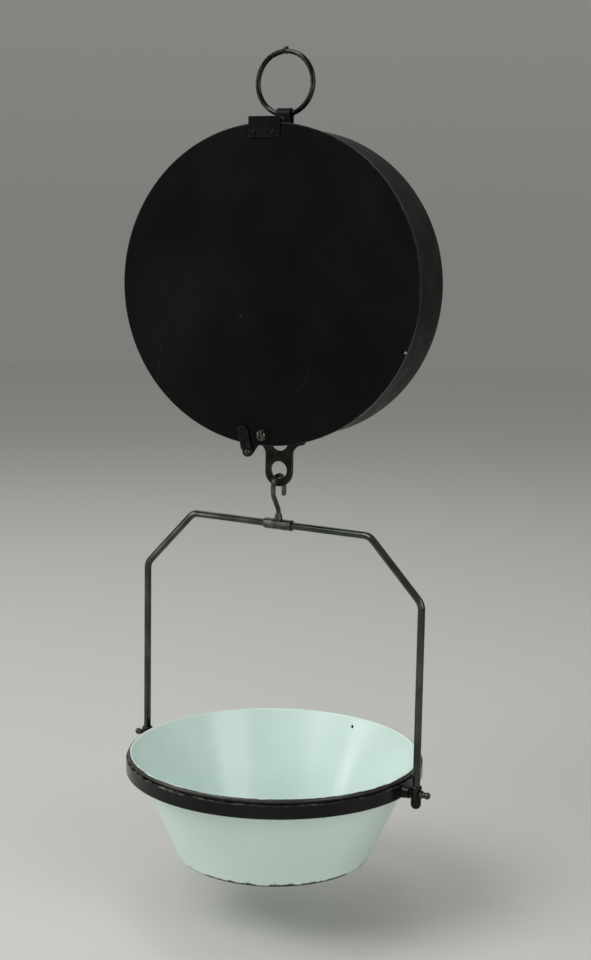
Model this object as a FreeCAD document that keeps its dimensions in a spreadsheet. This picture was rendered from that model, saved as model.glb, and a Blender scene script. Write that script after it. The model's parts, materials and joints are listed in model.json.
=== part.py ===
import FreeCAD, Part
import Sketcher
import math
import os

# Hanging dial spring scale. Millimetres, +Z up.
# The origin is the inside top of the suspension ring, where a ceiling hook bears.
# The dial faces +Y, the hinged back cover faces -Y, and the hang line is the Z axis.

V = FreeCAD.Vector
doc = FreeCAD.newDocument("spring_scale")
sheet = doc.addObject("Spreadsheet::Sheet", "dims")
_rows = [0]


class Dim:
    """A length together with the spreadsheet expression that gives it."""

    def __init__(self, value, text):
        self.v = float(value)
        self.e = text

    def __add__(self, o):
        o = dim(o)
        return Dim(self.v + o.v, "(%s + %s)" % (self.e, o.e))

    __radd__ = __add__

    def __sub__(self, o):
        o = dim(o)
        return Dim(self.v - o.v, "(%s - %s)" % (self.e, o.e))

    def __rsub__(self, o):
        return dim(o) - self

    def __mul__(self, o):
        o = dim(o)
        return Dim(self.v * o.v, "(%s * %s)" % (self.e, o.e))

    __rmul__ = __mul__

    def __truediv__(self, o):
        o = dim(o)
        return Dim(self.v / o.v, "(%s / %s)" % (self.e, o.e))

    def __neg__(self):
        return Dim(-self.v, "(0 - %s)" % self.e)


def dim(x):
    return x if isinstance(x, Dim) else Dim(x, "%.6f" % float(x))


def cell(name, value):
    _rows[0] += 1
    r = _rows[0]
    sheet.set("A%d" % r, name)
    sheet.set("B%d" % r, str(value))
    sheet.setAlias("B%d" % r, name)
    return Dim(value, "dims." + name)


# ---------------------------------------------------------------- driving dimensions
drum_level = cell("drum_level", -181.8)          # height of the drum's axis
ring_mean = cell("ring_mean", 24.5)              # suspension ring, centreline radius
ring_wire = cell("ring_wire", 2.1)
shell_rad = cell("shell_rad", 125.3)
shell_wall = cell("shell_wall", 1.2)
shell_back = cell("shell_back", -30.6)
shell_front = cell("shell_front", 32.5)
flange_inner = cell("flange_inner", 118.0)
cover_rad = cell("cover_rad", 127.0)
cover_face = cell("cover_face", -32.0)
cover_thick = cell("cover_thick", 1.0)
cover_skirt = cell("cover_skirt", -28.5)
hinge_y = cell("hinge_y", -28.2)
hinge_up = cell("hinge_up", 129.4)
hinge_rad = cell("hinge_rad", 1.9)
hinge_pin_rad = cell("hinge_pin_rad", 1.0)
lug_width = cell("lug_width", 11.5)
lug_inner = cell("lug_inner", 3.0)
lug_strap = cell("lug_strap", 2.2)
plate_thick = cell("plate_thick", 3.0)           # load plate
eye_rad = cell("eye_rad", 7.25)
eye_drop = cell("eye_drop", -150.3)
eye_end = cell("eye_end", 11.8)
beam_half = cell("beam_half", 44.0)
beam_low = cell("beam_low", 100.0)
beam_tall = cell("beam_tall", 14.0)
spring_x = cell("spring_x", 38.0)
spring_mean = cell("spring_mean", 9.0)
spring_wire = cell("spring_wire", 1.2)
spring_pitch = cell("spring_pitch", 3.0)
bar_half = cell("bar_half", 48.0)                # load crossbar
bar_low = cell("bar_low", -66.0)
bar_tall = cell("bar_tall", 12.0)
chassis_front = cell("chassis_front", 7.2)
chassis_thick = cell("chassis_thick", 2.0)
gear_module = cell("gear_module", 0.7)
gear_teeth = cell("gear_teeth", 16)
shaft_rad = cell("shaft_rad", 1.5)
shaft_bore = cell("shaft_bore", 1.55)
dial_rad = cell("dial_rad", 116.5)
dial_back = cell("dial_back", 20.0)
glass_rad = cell("glass_rad", 117.7)
glass_back = cell("glass_back", 26.9)
glass_thick = cell("glass_thick", 3.0)
pan_yaw = cell("pan_yaw", -10.5)                  # bail and hook hang a little turned to the drum, degrees
rod_rad = cell("rod_rad", 3.0)                   # bail rod
bail_level = cell("bail_level", -377.3)
bail_corner = cell("bail_corner", -426.3)
bail_top_half = cell("bail_top_half", 86.7)
bail_half = cell("bail_half", 135.5)
bail_bend = cell("bail_bend", 12.0)
trunnion_level = cell("trunnion_level", -580.8)
rim_level = cell("rim_level", -570.3)
pan_depth = cell("pan_depth", 88.0)
hook_rod = cell("hook_rod", 2.0)
hook_pivot = cell("hook_pivot", -336.6)
hoop_out = cell("hoop_out", 124.5)
hoop_in = cell("hoop_in", 122.0)
pin_rad = cell("pin_rad", 2.25)                  # trunnion pins
pin_bore = cell("pin_bore", 2.3)
doc.recompute()

ZC = drum_level.v
YAW = pan_yaw.v
nodes = []


# ---------------------------------------------------------------- helpers
def keep(obj, label):
    obj.Label = label
    nodes.append(obj)
    return obj


def new_body(name):
    return doc.addObject("PartDesign::Body", name)


def plane_of(body, role):
    for f in body.Origin.OriginFeatures:
        if f.Role == role:
            return f
    raise RuntimeError(role)


def pin_point(sk, geo, pos, p):
    """Ties a sketch point to the two dimensions p = (x, y)."""
    for kind, axis, q in (("DistanceX", -2, p[0]), ("DistanceY", -1, p[1])):
        q = dim(q)
        if abs(q.v) < 1e-9:
            sk.addConstraint(Sketcher.Constraint("PointOnObject", geo, pos, axis))
        else:
            i = sk.addConstraint(Sketcher.Constraint(kind, -1, 1, geo, pos, q.v))
            if "dims." in q.e:
                sk.setExpression("Constraints[%d]" % i, q.e)


def arc_of(a, b, r, turn):
    """The minor arc from a to b with radius r, turning ccw or cw, stored as a ccw arc with its two ends in order."""
    ax, ay, bx, by = a[0], a[1], b[0], b[1]
    dx, dy = bx - ax, by - ay
    d = math.hypot(dx, dy)
    k = math.sqrt(max(r * r - d * d / 4.0, 0.0))
    s = 1.0 if turn == "ccw" else -1.0
    cx, cy = (ax + bx) / 2.0 - s * k * dy / d, (ay + by) / 2.0 + s * k * dx / d
    ta, tb = math.atan2(ay - cy, ax - cx), math.atan2(by - cy, bx - cx)
    if turn == "cw":
        ta, tb = tb, ta
    if tb < ta:
        tb += 2.0 * math.pi
    geo = Part.ArcOfCircle(Part.Circle(V(cx, cy, 0), V(0, 0, 1), r), ta, tb)
    return geo, ((1, 2) if turn == "ccw" else (2, 1))


def sketch(body, role, name, paths=(), circles=(), offset=None):
    """paths: lists of vertices; a vertex is (x, y) or (x, y, radius, turn) for an arc that arrives there.
    A path that starts with None is open."""
    sk = body.newObject("Sketcher::SketchObject", name)
    sk.AttachmentSupport = [(plane_of(body, role), "")]
    sk.MapMode = "FlatFace"
    if offset is not None:
        sk.AttachmentOffset = FreeCAD.Placement(V(0, 0, dim(offset).v), FreeCAD.Rotation())
    for path in paths:
        opened = path[0] is None
        pts = [p for p in path if p is not None]
        vals = [(dim(p[0]).v, dim(p[1]).v) for p in pts]
        n = len(pts)
        span = n - 1 if opened else n
        arcs, tags = [], []
        for i in range(span):
            j = (i + 1) % n
            a, b = vals[i], vals[j]
            if len(pts[j]) > 2:
                r = dim(pts[j][2])
                g, ends = arc_of(a, b, r.v, pts[j][3])
                k = sk.addGeometry(g, False)
                arcs.append((k, r))
            else:
                k = sk.addGeometry(Part.LineSegment(V(a[0], a[1], 0), V(b[0], b[1], 0)), False)
                ends = (1, 2)
            tags.append((k, ends))
        for i in range(span - 1):
            sk.addConstraint(Sketcher.Constraint("Coincident", tags[i][0], tags[i][1][1], tags[i + 1][0], tags[i + 1][1][0]))
        if not opened:
            sk.addConstraint(Sketcher.Constraint("Coincident", tags[-1][0], tags[-1][1][1], tags[0][0], tags[0][1][0]))
        for i in range(span):
            pin_point(sk, tags[i][0], tags[i][1][0], pts[i])
        if opened:
            pin_point(sk, tags[-1][0], tags[-1][1][1], pts[-1])
        for k, r in arcs:
            c = sk.addConstraint(Sketcher.Constraint("Radius", k, r.v))
            if "dims." in r.e:
                sk.setExpression("Constraints[%d]" % c, r.e)
    for x, y, r in circles:
        x, y, r = dim(x), dim(y), dim(r)
        k = sk.addGeometry(Part.Circle(V(x.v, y.v, 0), V(0, 0, 1), r.v), False)
        c = sk.addConstraint(Sketcher.Constraint("Radius", k, r.v))
        if "dims." in r.e:
            sk.setExpression("Constraints[%d]" % c, r.e)
        pin_point(sk, k, 3, (x, y))
    return sk


def tie(obj, prop, q):
    q = dim(q)
    setattr(obj, prop, q.v)
    if "dims." in q.e:
        obj.setExpression(prop, q.e)


def pad(body, sk, length, reverse=False, name="Pad"):
    p = body.newObject("PartDesign::Pad", name)
    p.Profile = sk
    tie(p, "Length", length)
    p.Reversed = reverse
    sk.Visibility = False
    return p


def pocket(body, sk, length, reverse=False, name="Pocket"):
    doc.recompute()
    before = body.Shape.Volume
    p = body.newObject("PartDesign::Pocket", name)
    p.Profile = sk
    tie(p, "Length", length)
    p.Reversed = reverse
    doc.recompute()
    if body.Shape.Volume > before - 1e-3:
        raise RuntimeError("pocket cut nothing in " + body.Name)
    return p


def revolve(body, sk, axis="V_Axis"):
    p = body.newObject("PartDesign::Revolution", "Revolution")
    p.Profile = sk
    p.ReferenceAxis = (sk, [axis])
    p.Angle = 360
    return p


def place(obj, x=0, y=0, z=0, axis=None, angle=0.0):
    """Sets the placement; x, y and z stay tied to the sheet."""
    rot = FreeCAD.Rotation(V(*axis), angle) if axis is not None else FreeCAD.Rotation()
    obj.Placement = FreeCAD.Placement(V(dim(x).v, dim(y).v, dim(z).v), rot)
    for k, q in (("x", dim(x)), ("y", dim(y)), ("z", dim(z))):
        if "dims." in q.e:
            obj.setExpression("Placement.Base." + k, q.e)
    return obj


TO_Y = ((1, 0, 0), -90.0)      # turns +Z to +Y
TO_BACK = ((1, 0, 0), 90.0)    # turns +Z to -Y
TO_X = ((0, 1, 0), 90.0)       # turns +Z to +X
TO_LEFT = ((0, 1, 0), -90.0)   # turns +Z to -X
DOWN = ((1, 0, 0), 180.0)


def cyl(name, r, length, x=0, y=0, z=0, way=None):
    o = doc.addObject("Part::Cylinder", name)
    tie(o, "Radius", r)
    tie(o, "Height", length)
    return place(o, x, y, z, *(way or (None, 0.0)))


def cone(name, r1, r2, length, x=0, y=0, z=0, way=None):
    o = doc.addObject("Part::Cone", name)
    tie(o, "Radius1", r1)
    tie(o, "Radius2", r2)
    tie(o, "Height", length)
    return place(o, x, y, z, *(way or (None, 0.0)))


def box(name, lx, ly, lz, x, y, z):
    o = doc.addObject("Part::Box", name)
    tie(o, "Length", lx)
    tie(o, "Width", ly)
    tie(o, "Height", lz)
    return place(o, x, y, z)


def ball(name, r, x=0, y=0, z=0):
    o = doc.addObject("Part::Sphere", name)
    tie(o, "Radius", r)
    return place(o, x, y, z)


def dome(name, base, height, x=0, y=0, z=0, way=None):
    """A round head: a cap of a sphere with its flat side at (x, y, z)."""
    b, t = float(base), float(height)
    r = (b * b + t * t) / (2.0 * t)
    low = r - t
    o = doc.addObject("Part::Sphere", name)
    o.Radius = r
    o.Angle1 = math.degrees(math.asin(low / r))
    rot = FreeCAD.Rotation(V(*way[0]), way[1]) if way else FreeCAD.Rotation()
    up = rot.multVec(V(0, 0, 1))
    return place(o, dim(x) - up.x * low, dim(y) - up.y * low, dim(z) - up.z * low, *(way or (None, 0.0)))


def fuse(name, parts):
    o = doc.addObject("Part::MultiFuse", name)
    o.Shapes = parts
    return o


def cut(name, base, tool):
    doc.recompute()
    o = doc.addObject("Part::Cut", name)
    o.Base = base
    o.Tool = tool
    doc.recompute()
    if o.Shape.Volume > base.Shape.Volume - 1e-3:
        raise RuntimeError("cut removed nothing in " + name)
    return o


def common(name, a, b):
    o = doc.addObject("Part::Common", name)
    o.Base = a
    o.Tool = b
    return o


def group(name, parts):
    o = doc.addObject("Part::Compound", name)
    o.Links = parts
    return o


def rivet(name, head, rise, shank, length, x, y, z, way):
    """A dome head whose flat side is at (x, y, z), with a shank going back from it."""
    back = {TO_Y: TO_BACK, TO_BACK: TO_Y, DOWN: None, None: DOWN}[way]
    parts = [dome(name + "_head", head, rise, x, y, z, way), cyl(name + "_shank", shank, length, x, y, z, back)]
    return fuse(name, parts)


# ================================================================ suspension ring (the fixed end)
# A split ring of 4.2 mm wire. Its left end is necked down to a small bead, and its right end turns up
# into a little hooked tip that the bead clips against.
def ring_part(name, wire, a0, a1):
    t = doc.addObject("Part::Torus", name)
    tie(t, "Radius1", ring_mean)
    tie(t, "Radius2", wire)
    t.Angle3 = a1 - a0
    # the torus axis turns to -Y, so that angles run from +X up through +Z
    r = FreeCAD.Rotation(V(1, 0, 0), 90.0).multiply(FreeCAD.Rotation(V(0, 0, 1), a0))
    turn = FreeCAD.Rotation(V(0, 0, 1), -5.0)
    t.Placement = FreeCAD.Placement(V(0, 0, -(ring_mean.v - ring_wire.v)), turn.multiply(r))
    t.setExpression("Placement.Base.z", "dims.ring_wire - dims.ring_mean")
    return t


def on_ring(deg, out=0.0):
    a = math.radians(deg)
    p = V((ring_mean.v + out) * math.cos(a), 0, (ring_mean.v + out) * math.sin(a))
    p = FreeCAD.Rotation(V(0, 0, 1), -5.0).multVec(p)
    return p + V(0, 0, ring_wire.v - ring_mean.v)


main = ring_part("ring_main", ring_wire, 122.0, 447.0)
neck = ring_part("ring_neck", 1.35, 117.0, 123.0)
bead = ring_part("ring_bead", 2.25, 96.5, 117.5)
p1, p2, p3, p4 = on_ring(96.5), on_ring(117.5), on_ring(87.0), on_ring(88.5, 2.4)
b1 = ball("ring_bead_end", 2.25, p1.x, p1.y, p1.z)
b2 = ball("ring_bead_end2", 2.25, p2.x, p2.y, p2.z)
b3 = ball("ring_end_round", 2.0, p3.x, p3.y, p3.z)
tip = doc.addObject("Part::Cylinder", "ring_tip")
tip.Radius = 1.4
tip.Height = (p4 - p3).Length
tip.Placement = FreeCAD.Placement(p3, FreeCAD.Rotation(V(0, 0, 1), p4 - p3))
b4 = ball("ring_tip_end", 1.6, p4.x, p4.y, p4.z)
p5 = on_ring(91.5, 1.2)
b5 = doc.addObject("Part::Cylinder", "ring_clip")
b5.Radius = 1.1
b5.Height = (p5 - p3).Length + 1.6
b5.Placement = FreeCAD.Placement(p3, FreeCAD.Rotation(V(0, 0, 1), p5 - p3))
p6 = on_ring(89.0, -1.7)
b6 = ball("ring_burr", 0.9, p6.x, p6.y, p6.z)
keep(fuse("ring_all", [main, neck, bead, b1, b2, b3, tip, b4, b5, b6]), "suspension_ring")

# ================================================================ drum
# Hanger lug: a strap bent over the ring, its legs going down through the shell to the spring beam.
b = new_body("lug_body")
top = lug_inner + lug_strap
axis_z = ring_wire * 1.0 - ring_mean * 2.0
low = drum_level + beam_low + 1.0 - axis_z
s = sketch(b, "YZ_Plane", "lug_profile", [[
    (-top, low), (-lug_inner, low), (-lug_inner, 0),
    (0, lug_inner, lug_inner, "cw"), (lug_inner, 0, lug_inner, "cw"),
    (lug_inner, low), (top, low), (top, 0), (0, top, top, "ccw"), (-top, 0, top, "ccw")]])
pad(b, s, lug_width)
s = sketch(b, "XZ_Plane", "lug_bolt_hole", [], [(lug_width / 2.0, drum_level + 107.0 - axis_z, 2.5)])
pocket(b, s, 20, False)
s2 = sketch(b, "XZ_Plane", "lug_bolt_hole2", [], [(lug_width / 2.0, drum_level + 107.0 - axis_z, 2.5)])
pocket(b, s2, 20, True)
place(b, -(lug_width / 2.0), 0, axis_z)
doc.recompute()
try:
    ed = []
    for i, e in enumerate(b.Shape.Edges):
        bb = e.BoundBox
        if bb.XLength < 1e-6 and bb.ZMin > axis_z.v - 0.5 and bb.ZMax > axis_z.v + 4.0 and bb.YLength > 4:
            ed.append("Edge%d" % (i + 1))
    if ed:
        f = b.newObject("PartDesign::Fillet", "lug_round")
        f.Base = (b.Tip, ed)
        f.Radius = 0.8
        doc.recompute()
        if not b.Shape.isValid() or "Invalid" in f.State or "Error" in f.State:
            b.removeObject(f)
            doc.removeObject(f.Name)
            doc.recompute()
except Exception as err:
    print("lug fillet left out:", err)
keep(b, "hanger_lug")

# Spring beam: square steel bar that carries both springs.
b = new_body("beam_body")
s = sketch(b, "XZ_Plane", "beam_face", [[(-beam_half, beam_low), (beam_half, beam_low),
                                         (beam_half, beam_low + beam_tall), (-beam_half, beam_low + beam_tall)]],
           [(0, 107.0, 2.5)])
pad(b, s, 6.0)
s = sketch(b, "XY_Plane", "beam_stud_holes", [], [(spring_x, -3.0, 2.55), (-spring_x, -3.0, 2.55)])
pocket(b, s, 130.0, True)
place(b, 0, 3.0, drum_level)
keep(b, "spring_beam")

# Lug bolt and nut hold the lug, the beam and the chassis together.
hexa = doc.addObject("Part::Prism", "bolt_hex")
hexa.Polygon = 6
hexa.Circumradius = 4.6
hexa.Height = 3.2
place(hexa, 0, -5.2, drum_level + 107.0, *TO_BACK)
bolt = fuse("bolt_all", [hexa, cyl("bolt_shank", 2.45, 17.4, 0, -5.2, drum_level + 107.0, TO_Y)])
keep(bolt, "lug_bolt")
nut = doc.addObject("Part::Prism", "nut_hex")
nut.Polygon = 6
nut.Circumradius = 4.6
nut.Height = 3.6
place(nut, 0, chassis_front, drum_level + 107.0, *TO_Y)
keep(cut("nut_all", nut, cyl("nut_bore", 2.5, 6, 0, chassis_front - 1.0, drum_level + 107.0, TO_Y)), "lug_nut")

# Drum shell: a rolled sheet-steel wall with an inward flange at the back.
b = new_body("shell_body")
ri = shell_rad - shell_wall
s = sketch(b, "XY_Plane", "shell_profile", [[
    (flange_inner, shell_back), (shell_rad - 0.8, shell_back), (shell_rad, shell_back + 0.8, 0.8, "ccw"),
    (shell_rad, shell_front - 0.5), (shell_rad - 0.6, shell_front, 0.6, "ccw"),
    (ri, shell_front), (ri, shell_back + shell_wall), (flange_inner, shell_back + shell_wall)]])
revolve(b, s)
hw = lug_width / 2.0 + 0.4
s = sketch(b, "XY_Plane", "lug_slots", [
    [(-hw, 2.6), (hw, 2.6), (hw, 5.6), (-hw, 5.6)],
    [(-hw, -5.6), (hw, -5.6), (hw, -2.6), (-hw, -2.6)]])
pocket(b, s, 130.0, True)
s = sketch(b, "XY_Plane", "stem_slots", [
    [(7.6, -1.9), (16.4, -1.9), (16.4, 1.9), (7.6, 1.9)],
    [(-16.4, -1.9), (-7.6, -1.9), (-7.6, 1.9), (-16.4, 1.9)]], [(12.0, 16.0, 2.0), (-12.0, 16.0, 2.0)])
pocket(b, s, 130.0, False)
s = sketch(b, "XZ_Plane", "keeper_hole", [], [(-2.0, -118.5, 3.0)])
pocket(b, s, 40.0, True)
place(b, 0, 0, drum_level)
keep(b, "drum_shell")

# Chassis plate: the flat backbone that carries the bearings and the dial.
b = new_body("chassis_body")


def rounded(x0, x1, z0, z1, r):
    """A rectangle with round corners."""
    return [(x0 + r, z0, r, "ccw"), (x1 - r, z0), (x1, z0 + r, r, "ccw"), (x1, z1 - r),
            (x1 - r, z1, r, "ccw"), (x0 + r, z1), (x0, z1 - r, r, "ccw"), (x0, z0 + r)]


s = sketch(b, "XZ_Plane", "chassis_face",
           [rounded(-24, 24, -112, 116, 4), rounded(-12, 12, 42, 88, 5), rounded(-17, 17, -101, -24, 5)],
           [(0, 107.0, 2.5), (0, 0, 4.0)])
pad(b, s, chassis_thick)
place(b, 0, chassis_front, drum_level)
keep(b, "chassis_plate")

# Chassis foot: an angle bracket that ties the chassis to the bottom of the shell.
leg = box("foot_leg", 36, 2.0, 36, -18, chassis_front, drum_level - 126.5)
base = box("foot_base", 36, 15.0, 7.5, -18, chassis_front, drum_level - 126.5)
foot = fuse("foot_raw", [leg, base])
trim = cyl("foot_trim", 124.05, 40, 0, 0, drum_level, TO_Y)
foot = common("foot_shape", foot, trim)
h1 = cyl("foot_h1", 2.0, 20, 12, 16, drum_level - 130, None)
h2 = cyl("foot_h2", 2.0, 20, -12, 16, drum_level - 130, None)
keep(cut("foot_cut", foot, fuse("foot_holes", [h1, h2])), "chassis_foot")
keep(group("foot_rivet_set", [rivet("foot_rivet_a", 4.0, 2.0, 1.98, 8.0, 12, 16, drum_level - 125.15, DOWN),
                              rivet("foot_rivet_b", 4.0, 2.0, 1.98, 8.0, -12, 16, drum_level - 125.15, DOWN)]),
     "foot_rivets")

# Bearing bridge behind the pinion, on four posts.
b = new_body("bridge_body")
s = sketch(b, "XZ_Plane", "bridge_face", [rounded(-24, 24, -13, 13, 3)],
           [(0, 0, 3.0), (19, 8, 1.6), (-19, 8, 1.6), (19, -8, 1.6), (-19, -8, 1.6)])
pad(b, s, 1.5)
place(b, 0, -6.5, drum_level)
keep(b, "rear_bridge")
posts, screws = [], []
for k, (px, pz) in enumerate(((19, 8), (-19, 8), (19, -8), (-19, -8))):
    c = cyl("post_%d" % k, 3.0, 11.7, px, -6.5, drum_level + pz, TO_Y)
    h = cyl("post_bore_%d" % k, 1.5, 7.0, px, -7.0, drum_level + pz, TO_Y)
    posts.append(cut("post_cut_%d" % k, c, h))
    screws.append(rivet("bridge_screw_%d" % k, 2.9, 1.6, 1.48, 6.6, px, -8.0, drum_level + pz, TO_BACK))
keep(group("post_set", posts), "bridge_posts")
keep(group("bridge_screw_set", screws), "bridge_screws")

# Guide that keeps the rack in mesh.
keep(box("guide_block", 4.0, 8.2, 13.0, -15.9, -3.0, drum_level - 6.5), "rack_guide")

# Two brass bushes carry the pointer shaft.
b = new_body("rear_bush_body")
s = sketch(b, "XY_Plane", "rear_bush_profile", [[(shaft_bore, -10), (2.6, -10), (3.0, -9.6), (3.0, -6.5), (5, -6.5),
                                                 (5, -5.9), (shaft_bore, -5.9)]])
revolve(b, s)
place(b, 0, 0, drum_level)
keep(b, "rear_bush")
b = new_body("front_bush_body")
s = sketch(b, "XY_Plane", "front_bush_profile", [[(shaft_bore, 3.4), (6, 3.4), (6, 5.2), (4, 5.2), (4, 10.6), (3.6, 11),
                                                  (shaft_bore, 11)]])
revolve(b, s)
place(b, 0, 0, drum_level)
keep(b, "front_bush")

# Dial posts, dial plate and its screws.
posts, screws, circles = [], [], [(0, 0, 4.0)]
for k, (px, pz) in enumerate(((20.4, 60), (-20.4, 60), (20.4, -60), (-20.4, -60))):
    c = cyl("dial_post_%d" % k, 3.0, dial_back - chassis_front, px, chassis_front, drum_level + pz, TO_Y)
    h = cyl("dial_post_bore_%d" % k, 1.5, 7.0, px, dial_back - 6.5, drum_level + pz, TO_Y)
    posts.append(cut("dial_post_cut_%d" % k, c, h))
    screws.append(rivet("dial_screw_%d" % k, 2.8, 1.3, 1.48, 6.0, px, dial_back + 1.0, drum_level + pz, TO_Y))
    circles.append((px, pz, 1.6))
keep(group("dial_post_set", posts), "dial_posts")
b = new_body("dial_body")
s = sketch(b, "XZ_Plane", "dial_face", [], [(0, 0, dial_rad)] + circles)
pad(b, s, 1.0)
place(b, 0, dial_back + 1.0, drum_level)
keep(b, "dial_plate")
keep(group("dial_screw_set", screws), "dial_screws")

# Glass, its seat and gasket, and the bezel that holds it.
b = new_body("seat_body")
s = sketch(b, "XY_Plane", "seat_profile", [[(112.5, 24.8), (124.05, 24.8), (124.05, 26.3), (112.5, 26.3)]])
revolve(b, s)
s = sketch(b, "XZ_Plane", "seat_holes", [], [(85.56, 85.56, 1.3), (-85.56, 85.56, 1.3), (85.56, -85.56, 1.3), (-85.56, -85.56, 1.3)])
pocket(b, s, 40.0, False)
place(b, 0, 0, drum_level)
keep(b, "glass_seat_ring")
b = new_body("gasket_body")
s = sketch(b, "XY_Plane", "gasket_profile", [[(113.2, 26.3), (glass_rad, 26.3), (glass_rad, glass_back), (113.2, glass_back)]])
revolve(b, s)
place(b, 0, 0, drum_level)
keep(b, "glass_gasket")
b = new_body("glass_body")
s = sketch(b, "XY_Plane", "glass_profile", [[(0, glass_back), (glass_rad, glass_back), (glass_rad, glass_back + glass_thick - 0.4),
                                            (glass_rad - 0.4, glass_back + glass_thick), (0, glass_back + glass_thick)]])
revolve(b, s)
place(b, 0, 0, drum_level)
keep(b, "dial_glass")
b = new_body("bezel_body")
s = sketch(b, "XY_Plane", "bezel_profile", [[
    (112.0, 29.95), (118.2, 29.95), (118.2, 26.35), (124.0, 26.35), (124.0, 31.4), (123.2, 32.1, 0.9, "ccw"),
    (114.6, 32.1), (112.0, 30.9, 3.2, "ccw")]])
revolve(b, s)
s = sketch(b, "XZ_Plane", "bezel_holes", [], [(85.56, 85.56, 1.3), (-85.56, 85.56, 1.3), (85.56, -85.56, 1.3), (-85.56, -85.56, 1.3)])
pocket(b, s, 40.0, False)
place(b, 0, 0, drum_level)
keep(b, "bezel_ring")
screws = []
for k, (px, pz) in enumerate(((85.56, 85.56), (-85.56, 85.56), (85.56, -85.56), (-85.56, -85.56))):
    screws.append(rivet("bezel_screw_%d" % k, 2.4, 1.2, 1.28, 7.0, px, 32.1, drum_level + pz, TO_Y))
keep(group("bezel_screw_set", screws), "bezel_screws")

# Springs: two extension springs, wound from 2.4 mm wire, screwed onto threaded plugs.
spring_top, spring_low = 62.0, -52.0
for side, label in ((-1, "spring_left"), (1, "spring_right")):
    rise = spring_top - spring_low - 2.0 * spring_wire.v
    helix = Part.makeHelix(spring_pitch.v, rise, spring_mean.v)
    prof = Part.Wire([Part.Circle(V(spring_mean.v, 0, 0), V(0, 1, spring_pitch.v / (2 * math.pi * spring_mean.v)), spring_wire.v).toShape()])
    coil = Part.Wire(helix.Edges).makePipeShell([prof], True, True)
    o = doc.addObject("Part::Feature", label + "_coil")
    o.Shape = coil
    place(o, side * spring_x, 0, drum_level + (spring_low + spring_wire.v))
    keep(o, label)
tops, nuts, lows, lownuts = [], [], [], []
for k, side in enumerate((-1, 1)):
    x = side * spring_x
    tops.append(fuse("top_plug_%d" % k, [
        cyl("top_plug_core_%d" % k, 7.6, 12.4, x, 0, drum_level + 50.0),
        cyl("top_plug_flange_%d" % k, 10.0, 2.6, x, 0, drum_level + 62.4),
        cyl("top_plug_stem_%d" % k, 2.5, 51.8, x, 0, drum_level + 65.0)]))
    n = doc.addObject("Part::Prism", "top_nut_hex_%d" % k)
    n.Polygon, n.Circumradius, n.Height = 6, 4.4, 2.2
    place(n, x, 0, drum_level + beam_low + beam_tall)
    nuts.append(cut("top_nut_%d" % k, n, cyl("top_nut_bore_%d" % k, 2.55, 8, x, 0, drum_level + 112.0)))
    lows.append(fuse("low_plug_%d" % k, [
        cyl("low_plug_core_%d" % k, 7.6, 12.0, x, 0, drum_level - 52.4),
        cyl("low_plug_flange_%d" % k, 10.0, 1.6, x, 0, drum_level - 54.0),
        cyl("low_plug_stem_%d" % k, 2.5, 18.0, x, 0, drum_level - 72.0)]))
    n = doc.addObject("Part::Prism", "low_nut_hex_%d" % k)
    n.Polygon, n.Circumradius, n.Height = 6, 4.6, 3.6
    place(n, x, 0, drum_level + bar_low - 3.6)
    lownuts.append(cut("low_nut_%d" % k, n, cyl("low_nut_bore_%d" % k, 2.55, 8, x, 0, drum_level - 72.0)))
keep(group("top_plug_set", tops), "spring_top_plugs")
keep(group("top_nut_set", nuts), "spring_top_nuts")

# Fixed half of the cover's hinge, on top of the shell wall, and its pin.
hx0, hx1 = -17.0, 9.5
shell_out = cyl("leaf_outer", 126.5, 40, 0, -30, drum_level, TO_Y)
shell_in = cyl("leaf_inner", 125.3, 44, 0, -32, drum_level, TO_Y)
saddle = common("leaf_saddle", cut("leaf_ring", shell_out, shell_in), box("leaf_window", hx1 - hx0, 15.6, 14, hx0, -27.6, drum_level + 118))
parts = [saddle]
for k, (xa, xb) in enumerate(((hx0, -11.2), (3.7, hx1))):
    parts.append(cyl("knuckle_%d" % k, hinge_rad, xb - xa, xa, hinge_y, drum_level + hinge_up, TO_X))
    web = box("knuckle_web_%d" % k, xb - xa, 1.7, 5.2, xa, -27.6, drum_level + 124.2)
    parts.append(cut("knuckle_web_cut_%d" % k, web, cyl("web_trim_%d" % k, 125.3, 44, 0, -40, drum_level, TO_Y)))
fixed = fuse("fixed_leaf_raw", parts)
keep(cut("fixed_leaf", fixed, cyl("fixed_leaf_bore", hinge_pin_rad, 40, -24, hinge_y, drum_level + hinge_up, TO_X)), "hinge_fixed_leaf")
keep(cyl("hinge_pin_rod", hinge_pin_rad, hx1 - hx0 + 1.6, hx0 - 0.8, hinge_y, drum_level + hinge_up, TO_X), "hinge_pin")

# Keeper plate behind the flange, which the cover screw enters.
b = new_body("keeper_body")
s = sketch(b, "XZ_Plane", "keeper_face", [rounded(-11, 7, -122.5, -110.5, 2)], [(-2, -118.5, 2.5)])
pad(b, s, 1.8)
place(b, 0, -27.6, drum_level)
keep(b, "cover_keeper")

# ================================================================ back cover
b = new_body("cover_body")
s = sketch(b, "XY_Plane", "cover_profile", [[
    (0, cover_face), (cover_rad - 1.0, cover_face), (cover_rad, cover_face + 1.0, 1.0, "ccw"), (cover_rad, cover_skirt),
    (cover_rad - 1.25, cover_skirt), (cover_rad - 1.25, cover_face + cover_thick), (0, cover_face + cover_thick)]])
revolve(b, s)
s = sketch(b, "XZ_Plane", "cover_holes", [], [(-2, -118.5, 2.05), (-12, 119.0, 1.2), (4, 119.0, 1.2)])
pocket(b, s, 40.0, True)
place(b, 0, 0, drum_level)
keep(b, "back_cover")

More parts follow.
